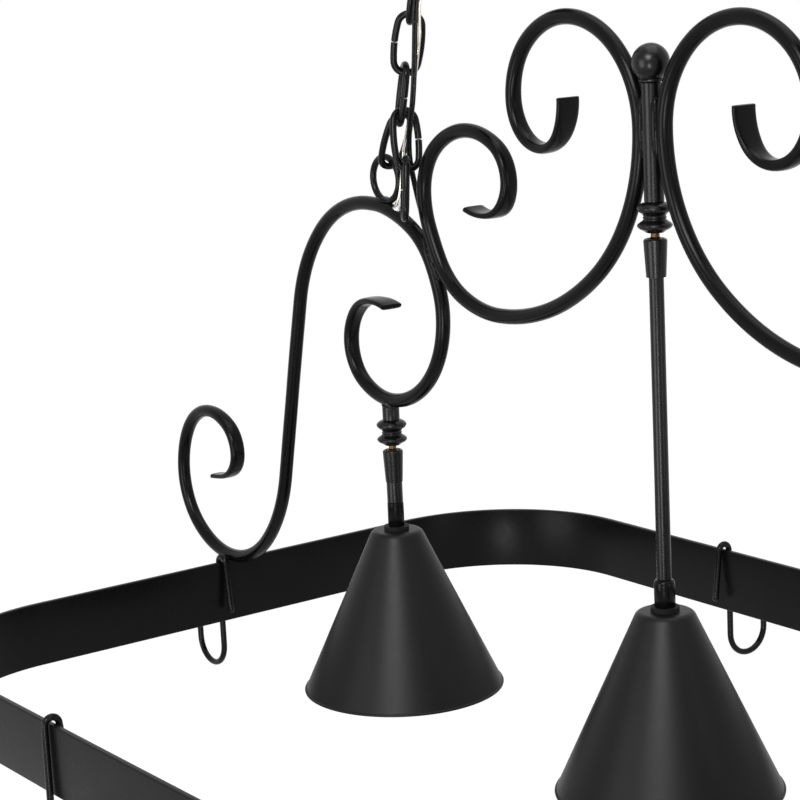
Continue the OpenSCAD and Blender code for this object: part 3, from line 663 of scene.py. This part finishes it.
def link_shell(foot, tilt, lean, turn, flip):
    """A link standing on foot, the middle line of its lower bow."""
    path = half_link(BUTT / 2, 0) + [Vector((-p.x, 0, -p.z)) for p in half_link(0, BUTT / 2)][1:]
    spin = Matrix.Rotation(math.radians(turn), 3, "Z")
    path = [foot + link_way(tilt, lean) @ (spin @ p + Vector((0, 0, REACH / 2))) for p in path]
    shell = tube(path, lambda f: WIRE_R - CUT_EDGE if f in (0.0, 1.0) else WIRE_R, n=14, round_ends=False)
    return mirrored((*shell, 0), flip)


def chain_shells(flip):
    """The links from the ring to the ceiling loop, and two spare ones hanging behind the lowest."""
    whole = Vector((0, 0, REACH))
    lowest = ring_c + (RING_R - 2 * WIRE_R - PLAY) * toward(90 - LOWEST_LEAN)
    foot = Vector((lowest.x, 0, lowest.y))
    top = foot + link_way(0, LOWEST_LEAN) @ whole
    shells = [link_shell(foot, 0, LOWEST_LEAN, LINK_TURN[0], flip)]
    second = top + 2 * WIRE_R * Vector(SECOND_OFF)
    to_loop = (loop_c - second).normalized()
    lean = math.degrees(math.atan2(to_loop.x, to_loop.z))
    tilt = -math.degrees(math.asin(to_loop.y))
    for i, turn in enumerate(LINK_TURN[1:]):
        shells.append(link_shell(second + i * PITCH * to_loop, tilt, lean, turn, flip))
    spare = top + 2 * WIRE_R * Vector(SPARE_OFF) - link_way(SPARE_TILT, SPARE_LEAN) @ whole
    shells.append(link_shell(spare, SPARE_TILT, SPARE_LEAN, SPARE_TURN, flip))
    last = spare + Vector(LAST_OFF) - link_way(LAST_TILT, LAST_LEAN) @ whole
    shells.append(link_shell(last, LAST_TILT, LAST_LEAN, LAST_TURN, flip))
    return shells


for side, flip in SIDES:
    piece(f"linked_chain_{side}", chain_shells(flip), [PAINT_WIRE], "chains",
          [f"chain_{side}"])


# ---------------------------------------------------------------- wires

# The routes repeat the part's source. Each runs from the canopy down, cut in two between its hinge lines.
HALF_GAP = 0.45  # half of the gap that the solids leave at a hinge line
ceiling_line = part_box("lead_top")[1].z / MM - RIM_TOP
upper_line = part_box("lead_chain")[1].z / MM - RIM_TOP + HALF_GAP
lower_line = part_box("lead_rack")[1].z / MM - RIM_TOP + HALF_GAP
LEAD = [
    [(-209.5, 0, ceiling_line), (-209.8, 0, 533), (-211, 0, upper_line), (-211.4, -0.3, 515),
     (-213.5, -1.8, 508), (-217.5, -4.4, 498), (-224, -8, 480), (-230.5, -9, 461), (-233.5, -9, 439)],
    [(-233.5, -9, 439), (-236, -9, 416), (-240, -8.8, 393), (-246.5, -6.9, 379), (-253, -3.9, 367.5),
     (-257.4, -1.2, 360.3), (-258.9, -0.15, 356.6), (-259, 0, lower_line), (-258.9, 0.8, 345),
     (-259, 3.2, 333), (-259.6, 7, 318), (-259, 10.2, 306), (-256, 12.3, 297), (-251.5, 13.2, 291),
     (-247.3, 12.4, 287.6), (-244.6, 10.4, 286.2), (-244.1, 8.2, 286)],
]
EARTH = [
    [(-206, 0, ceiling_line), (-206.2, 0, 533), (-207, 0, upper_line), (-207.3, -0.3, 515),
     (-209.3, -1.2, 507), (-213.5, -2.4, 497), (-222, -4.2, 480), (-231, -5, 461), (-233, -5, 439)],
    [(-233, -5, 439), (-240, -4, 416), (-248, -3.5, 393), (-258, -2.5, 370), (-265.7, -0.3, 357),
     (-266.5, 0, lower_line), (-267.6, -1.5, 340), (-267.4, -3.8, 327), (-270.5, -4.4, 319),
     (-275.3, -2.9, 315.6)],
]
ACROSS = 54.8  # compass of the level line that runs across the photograph, in degrees


def beside(points, away):
    """The path of a strand that lies away mm to the side of a route, as the photograph shows it."""
    across = Vector((math.cos(math.radians(ACROSS)), math.sin(math.radians(ACROSS)), 0.0))
    made = []
    for i, point in enumerate(points):
        way = (points[min(i + 1, len(points) - 1)] - points[max(i - 1, 0)]).normalized()
        made.append(point + away * (across - across.dot(way) * way).normalized())
    return made


def wire(name, route, radius, material, nodes, strands=1):
    """One wire, or two strands side by side in its width, along a route that crosses a hinge line."""
    path = smooth(route, 8)
    lanes = [0.0] if strands == 1 else [-radius / 2, radius / 2]
    shells = [(*tube(beside(path, lane), radius / strands, n=12, round_ends=False), 0) for lane in lanes]
    made = piece(name, shells, [material], None, nodes)
    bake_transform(made)


LEAD_R, EARTH_R = 2.0, 1.0
wire("lead_upper", LEAD[0], LEAD_R, JACKET, ["lead_top"], 2)
wire("lead_lower", LEAD[1], LEAD_R, JACKET, ["lead_chain", "lead_rack"], 2)
wire("earth_upper", EARTH[0], EARTH_R, TINNED, ["earth_top"])
wire("earth_lower", EARTH[1], EARTH_R, TINNED,
     ["earth_chain", "earth_rack"])


# ---------------------------------------------------------------- lamps

SHADE_H, SHADE_R, CROWN_R, SHADE_T = 122.0, 75.6, 20.4, 1.0
COLLAR_H, NECK_GAP, SLEEVE_H = 19.0, 3.8, 24.0  # the gap shows the swivel's neck
SADDLE_R, CURL_R, SADDLE_BEAD_R = 5.1, 46.0, 1.7  # weld round the stub, and the bend of the bar over it
SHADE_TOP = SHADE_H - BAND_H
SHADE_FOOT = SHADE_TOP - SHADE_H
CUP_FOOT = SHADE_TOP + 3.0
CUP_TOP = CUP_FOOT + 18.0
CROWN_SOFT = 5.0  # outer bend between the crown and the cone
ROD_R, CUP_R = 5.9, 6.1
MIDDLE_ROD_R, MIDDLE_CUP_R = 4.75, 6.9
NIPPLE_R, NIPPLE_L = 4.7, 7.0
HOLDER_H, THREAD_R, THREAD_PITCH, THREAD_TURNS = 44.0, 13.2, 3.63, 7
# Profiles of (radius, height from the piece's top).
COLLAR = [(6.6, 0), (7.8, -0.4), (9.9, -1.6), (11.2, -3.5), (10.2, -5.5), (8.0, -7.1), (7.1, -8.7),
          (7.6, -9.6), (7.1, -10.5), (8.2, -11.7), (10.2, -13.1), (11.2, -14.5), (10.0, -16.3), (7.4, -17.7),
          (5.6, -19.0)]
SLEEVE = [(5.25, -0.9), (5.5, -0.15), (6.3, 0), (7.1, -0.5), (7.5, -1.7), (7.5, -3.2), (6.45, -22.6),
          (6.3, -23.5), (5.8, -24.0)]


def turned_collar(side, at, top):
    """Turned collar under the bar, on the outer lamps with a stub welded to the bar's underside."""
    foot = top - COLLAR_H
    profile = [(0, top)] + [(p.x, top + p.y) for p in smooth(COLLAR, 4)]
    profile += [(3.0, foot), (3.0, foot + 3), (0, foot + 3)]
    shells = [(*lathe(profile, at), 0)]
    if side != "centre":
        end = top + STUB_L
        stub = [(0, end + 1.5), (POST_R - 1.6, end + 1.5), (POST_R - 0.5, end + 0.4), (POST_R, end - 0.4),
                (POST_R, top + 0.4), (POST_R - 0.6, top), (0, top)]
        shells.append((*lathe(stub, at), 0))
        saddle = []
        for k in range(48):
            across, over = SADDLE_R * math.cos(math.tau * k / 48), SADDLE_R * math.sin(math.tau * k / 48)
            bar_foot = LAMP_BAR_Z - math.sqrt(BAR_R ** 2 - over ** 2) + across ** 2 / (2 * CURL_R)
            saddle.append((at[0] + across, over, bar_foot - 0.3))
        shells.append((*tube(saddle, SADDLE_BEAD_R, n=12, closed=True), 0))
    piece(f"turned_collar_{side}", shells, [PAINT_TURNED], "rack", [f"collar_{side}"],
          sharp=55)


def hanging_rod(side, at, top):
    """Tapered sleeve, rod, and the cup over the shade with the threaded nipple through it."""
    body, middle = f"lamp_{side}", side == "centre"
    foot = top - SLEEVE_H
    outer = [(p.x, top + p.y) for p in smooth(SLEEVE, 3)]
    inner = [(4.6, foot), (4.6, foot + 9), (5.25, top - 8.0), (6.15, top - 4.2), (5.3, top - 1.2)]
    piece(f"tapered_sleeve_{side}", [(*ring_lathe(outer + inner, at), 0)], [PAINT_TURNED], body,
          [f"sleeve_{side}"])
    r = MIDDLE_ROD_R if middle else ROD_R
    rod = [(0, foot + 2), (r - 0.2, foot + 2), (r, foot - 0.2), (r, CUP_TOP + 0.5), (r - 0.45, CUP_TOP),
           (0, CUP_TOP)]
    piece(f"rod_{side}", [(*lathe(rod, at), 0)], [PAINT_TURNED], body, [f"stem_{side}"])
    c = MIDDLE_CUP_R if middle else CUP_R
    shoulder = [(c - 0.6, CUP_TOP), (c, CUP_TOP - 0.6)]
    if middle:
        shoulder = [(c - 1.9, CUP_TOP), (c - 0.9, CUP_TOP - 0.5), (c - 0.2, CUP_TOP - 1.8),
                    (c, CUP_TOP - 3.4)]
    cup = [(0, CUP_TOP)] + shoulder + [(c, CUP_FOOT + 0.6), (c - 0.4, CUP_FOOT), (0, CUP_FOOT)]
    tip = SHADE_TOP - NIPPLE_L
    nipple = [(0, CUP_FOOT), (NIPPLE_R, CUP_FOOT), (NIPPLE_R, tip), (0, tip)]
    piece(f"cup_{side}", [(*lathe(cup, at), 0), (*lathe(nipple, at, 32), 1)], [PAINT, ZINC], body,
          [f"shade_cup_{side}"])


def crown_edge(radius, count=8):
    """From the flat crown round into the cone."""
    flare = math.degrees(math.atan2(SHADE_R - CROWN_R, SHADE_H))
    for k in range(count + 1):
        a = math.radians(90 - (90 - flare) * k / count)
        yield CROWN_R - CROWN_SOFT + radius * math.cos(a), SHADE_TOP - CROWN_SOFT + radius * math.sin(a)


def spun_shade(side, at):
    """Cone of sheet with a rolled foot, black outside and white inside."""
    foot, crown = SHADE_FOOT, SHADE_TOP
    outside = [(4.9, crown - 0.5), (5.3, crown)] + list(crown_edge(CROWN_SOFT))
    outside += [(SHADE_R - 1.9, foot + 3.2), (SHADE_R - 1.3, foot + 2.0), (SHADE_R - 0.3, foot + 1.5),
                (SHADE_R, foot + 0.9), (SHADE_R - 0.15, foot + 0.25), (SHADE_R - 0.7, foot)]
    inside = [(SHADE_R - 1.6, foot + 0.3), (SHADE_R - 2.3, foot + 1.6), (SHADE_R - 2.9, foot + 3.2)]
    inside += list(crown_edge(CROWN_SOFT - SHADE_T))[::-1] + [(5.3, crown - SHADE_T), (4.9, crown - 0.8)]
    shell = ring_lathe(outside + inside, at, 128)
    shade = piece(f"spun_shade_{side}", [(*shell, 0)], [PAINT_SPUN, ENAMEL], f"lamp_{side}",
                  [f"shade_{side}"], sharp=35)
    count, first = len(outside) + len(inside), len(outside)
    for number, polygon in enumerate(shade.data.polygons):
        if number % count >= first:
            polygon.material_index = 1


def screw_holder(side, at):
    """Porcelain lampholder with its threaded shell and contact."""
    top = SHADE_TOP - SHADE_T
    foot = top - HOLDER_H
    outer = [(5.0, top), (11.4, top), (12.8, top - 0.5), (13.9, top - 2.0), (14.2, top - 3.0),
             (14.2, top - 10.6), (14.8, top - 12.2), (16.0, top - 13.4), (16.2, top - 14.6),
             (16.2, foot + 1.2), (15.9, foot + 0.4), (15.0, foot), (14.2, foot + 0.1), (13.5, foot + 0.9)]
    inner = [(13.5, foot + 31.6), (5.0, foot + 32)]
    per = 32
    thread = [about(at, THREAD_R, foot + 3.5 + THREAD_PITCH * k / per, k, per)
              for k in range(THREAD_TURNS * per)]
    contact = [(0, foot + 31), (4.0, foot + 31), (3.4, foot + 29.4), (0, foot + 29)]
    shells = [(*ring_lathe(outer + inner, at), 0), (*tube(thread, 0.75, n=8), 1)]
    shells.append((*lathe(contact, at, 32), 1))
    piece(f"screw_holder_{side}", shells, [PORCELAIN, SHELL], f"lamp_{side}",
          [f"lampholder_{side}"])


def lamp(side, x):
    """One downlight, from its collar to its lampholder."""
    at = (x, 0.0)
    top = POST_FOOT if side == "centre" else LAMP_BAR_Z - BAR_R + SINK - STUB_L
    turned_collar(side, at, top)
    hanging_rod(side, at, top - COLLAR_H - NECK_GAP)
    spun_shade(side, at)
    screw_holder(side, at)


for side, x in LAMPS:
    lamp(side, x)


# ---------------------------------------------------------------- hooks

HOOK_R = 2.5
OVER_R = BAND_T / 2 + 2 * PLAY + HOOK_R  # bend over the band
OVER_Z = -1.2  # its middle, under the rim's top edge
LEG_L, LEG_SPLAY = 38.8, 7  # the short leg, and the degrees that it stands off the band
BEND_R, BEND_DROP, TIP_DROP = 19.0, 42.0, 9.0  # bend that holds a pan, its foot and its tip below the rim
BEND_Z = -BAND_H - BEND_DROP + BEND_R
HOOK_X, END_HOOK_Y = 272.0, -9.0  # places of the side and end hooks along their bars


def hook_shell():
    """Hook over a band in the plane y 0, with its bend towards -X."""
    leg = toward(LEG_SPLAY - 90)
    leg_top = Vector((OVER_R, OVER_Z))
    points = [leg_top + leg * d for d in (LEG_L, 34, 26, 18, 10, 4)]
    points += [Vector((0, OVER_Z)) + OVER_R * toward(a) for a in range(0, 181, 12)]
    points += [Vector((-OVER_R, z)) for z in (-12, -30, -48, -62)]
    points += [Vector((-OVER_R - BEND_R, BEND_Z)) + BEND_R * toward(-a) for a in range(0, 181, 9)]
    points += [Vector((-OVER_R - 2 * BEND_R, BEND_Z + d)) for d in (5, 10)]
    points.append(Vector((-OVER_R - 2 * BEND_R, -BAND_H - TIP_DROP)))
    return (*tube([(p.x, 0, p.y) for p in points], HOOK_R, n=16), 0)


def hook_places():
    """Each hook's name, and the change that carries a point from the hook's own place to the rim."""
    side_y = RIM_W / 2 + BAND_T / 2
    for side, flip in SIDES:
        yield f"end_{side}", lambda p, s=flip: Vector((-s * (p.x + FOOT_X), p.y + END_HOOK_Y, p.z))
        for face, way in (("front", -1), ("back", 1)):
            yield (f"{face}_{side}",
                   lambda p, s=flip, w=way: Vector((s * (HOOK_X - p.y), w * (side_y - p.x), p.z)))


for place, change in hook_places():
    body = f"hook_{place}"
    piece(f"wire_{body}", [moved(hook_shell(), change)], [PAINT_WIRE], body, [body])


# ---------------------------------------------------------------- canopies, and nodes that keep their solids

def dress(nodes, material):
    """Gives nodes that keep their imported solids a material."""
    for node in nodes:
        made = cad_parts[node]
        made.data.materials.clear()
        made.data.materials.append(material)


CANOPY_R, CANOPY_H, CANOPY_T = 63.5, 24.0, 1.2
DOME_WIDE, DOME_HIGH = 18, 14  # the elliptic round between the canopy's wall and its flat


def canopy(side):
    """Spun canopy with a rolled lip against the ceiling."""
    lo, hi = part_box(f"canopy_{side}")
    x = (lo.x + hi.x) / 2 / MM

    def dome(t):
        for a in (math.pi * k / 24 for k in range(13)):
            yield (CANOPY_R - t - DOME_WIDE + DOME_WIDE * math.cos(a),
                   -CANOPY_H + t + DOME_HIGH - DOME_HIGH * math.sin(a))

    lip = [(CANOPY_R - 0.3, 0), (CANOPY_R, -0.4), (CANOPY_R, -2.4), (CANOPY_R - 0.5, -3.0),
           (CANOPY_R - 0.2, -3.8)]
    step = [(26, -CANOPY_H), (24.6, -CANOPY_H - 0.5), (23.2, -CANOPY_H)]
    hole = [(5.0, -CANOPY_H), (5.0, -CANOPY_H + CANOPY_T)]
    profile = lip + list(dome(0))[1:] + step + hole + list(dome(CANOPY_T))[::-1]
    profile.append((CANOPY_R - CANOPY_T, 0))
    shell = (*ring_lathe(profile, (x, 0.0), 128), 0)
    piece(f"spun_canopy_{side}", [shell], [PAINT_SPUN], "ceiling", [f"canopy_{side}"],
          sharp=35, raise_to_rim=False)


for side, _ in SIDES:
    canopy(side)

dress(["ceiling_loop_left", "ceiling_loop_right"], PAINT_WIRE)
dress(["mounting_bar_left", "mounting_bar_right"], ZINC)
dress(["earth_screw"], ZINC)
dress(["canopy_bushing", "scroll_bushing"], RUBBER)
dress([f"washer_{side}" for side, _ in LAMPS], RUBBER)
dress([f"{name}_{side}" for name in ("swivel_stud", "swivel_cup") for side, _ in LAMPS], SHADED_BRASS)


# ---------------------------------------------------------------- light, floor and backdrop

MIDDLE = (0.0, 0.0, -0.40)  # the rack's middle, in metres
# Name, compass and height in degrees as the rack sees it, distance, width and height in metres, watts.
SOFTBOXES = (
    ("key", -57, 38, 2.6, (1.15, 0.9), 54.0),
    ("low_key", -50, -14, 2.6, (0.5, 1.1), 27.0),
    ("side", -97, 0, 2.6, (1.2, 1.7), 38.0),
    ("top", 60, 84, 2.2, (2.0, 1.6), 22.0),
    ("fill", 8, 6, 2.6, (0.5, 1.5), 9.0),
)
AMBIENT, BACKDROP = 0.25, 1.0  # the world's light on the rack, and the white that is seen
FLOOR_HALF, FLOOR_Z = 7.0, -1.95
FLOOR_GREY, FLOOR_GLOW, GLOW_SHARE = 0.86, 1.08, 0.93  # what the glow leaves shows the rack's shadow
WHITE = (1, 1, 1, 1)


def softbox(name, compass, height, away, size, watts):
    """Soft panel turned to the rack's middle."""
    flat, rise = math.radians(compass), math.radians(height)
    way = Vector((math.cos(rise) * math.cos(flat), math.cos(rise) * math.sin(flat), math.sin(rise)))
    data = bpy.data.lights.new(name, "AREA")
    data.shape = "RECTANGLE"
    data.size, data.size_y = size
    data.energy = watts
    made = bpy.data.objects.new(name, data)
    made.location = Vector(MIDDLE) + away * way
    made.rotation_euler = way.to_track_quat("Z", "Y").to_euler()
    bpy.context.scene.collection.objects.link(made)


def seen_directly(tree):
    """1 for rays from the camera, and for what gloss and glass show."""
    path = tree.nodes.new("ShaderNodeLightPath")
    most = None
    for name in ("Is Camera Ray", "Is Glossy Ray", "Is Transmission Ray"):
        if most is None:
            most = path.outputs[name]
            continue
        made = tree.nodes.new("ShaderNodeMath")
        made.operation = "MAXIMUM"
        tree.links.new(most, made.inputs[0])
        tree.links.new(path.outputs[name], made.inputs[1])
        most = made.outputs[0]
    return most


def blended(tree, fac, plain_shader, shown, output):
    """Mixes two shaders by fac into the tree's output."""
    mixed = tree.nodes.new("ShaderNodeMixShader")
    tree.links.new(fac, mixed.inputs["Fac"])
    tree.links.new(plain_shader.outputs[0], mixed.inputs[1])
    tree.links.new(shown.outputs[0], mixed.inputs[2])
    tree.links.new(mixed.outputs[0], tree.nodes[output].inputs["Surface"])


def light_world():
    """Even light on the rack, and white wherever the world itself is seen."""
    world = bpy.data.worlds.new("studio")
    bpy.context.scene.world = world
    world.use_nodes = True
    tree = world.node_tree
    ambient = tree.nodes["Background"]
    ambient.inputs["Color"].default_value = WHITE
    ambient.inputs["Strength"].default_value = AMBIENT
    shown = tree.nodes.new("ShaderNodeBackground")
    shown.inputs["Color"].default_value = WHITE
    shown.inputs["Strength"].default_value = BACKDROP
    blended(tree, seen_directly(tree), ambient, shown, "World Output")


def lay_floor():
    """Floor that looks white and shows a faint shadow of the rack."""
    mesh = bpy.data.meshes.new("floor")
    h = FLOOR_HALF
    corners = [(-h, -h, FLOOR_Z), (h, -h, FLOOR_Z), (h, h, FLOOR_Z), (-h, h, FLOOR_Z)]
    mesh.from_pydata(corners, [], [(0, 1, 2, 3)])
    floor = bpy.data.objects.new("floor", mesh)
    bpy.context.scene.collection.objects.link(floor)
    pale = bpy.data.materials.new("pale_floor")
    pale.use_nodes = True
    tree = pale.node_tree
    shader = tree.nodes["Principled BSDF"]
    shader.inputs["Base Color"].default_value = (FLOOR_GREY, FLOOR_GREY, FLOOR_GREY, 1)
    shader.inputs["Roughness"].default_value = 0.9
    glow = tree.nodes.new("ShaderNodeEmission")
    glow.inputs["Color"].default_value = WHITE
    glow.inputs["Strength"].default_value = FLOOR_GLOW
    part = tree.nodes.new("ShaderNodeMath")
    part.operation = "MULTIPLY"
    part.inputs[1].default_value = GLOW_SHARE
    tree.links.new(seen_directly(tree), part.inputs[0])
    blended(tree, part.outputs[0], shader, glow, "Material Output")
    mesh.materials.append(pale)


for box in SOFTBOXES:
    softbox(*box)
light_world()
lay_floor()
bpy.context.scene.view_settings.view_transform = "Standard"
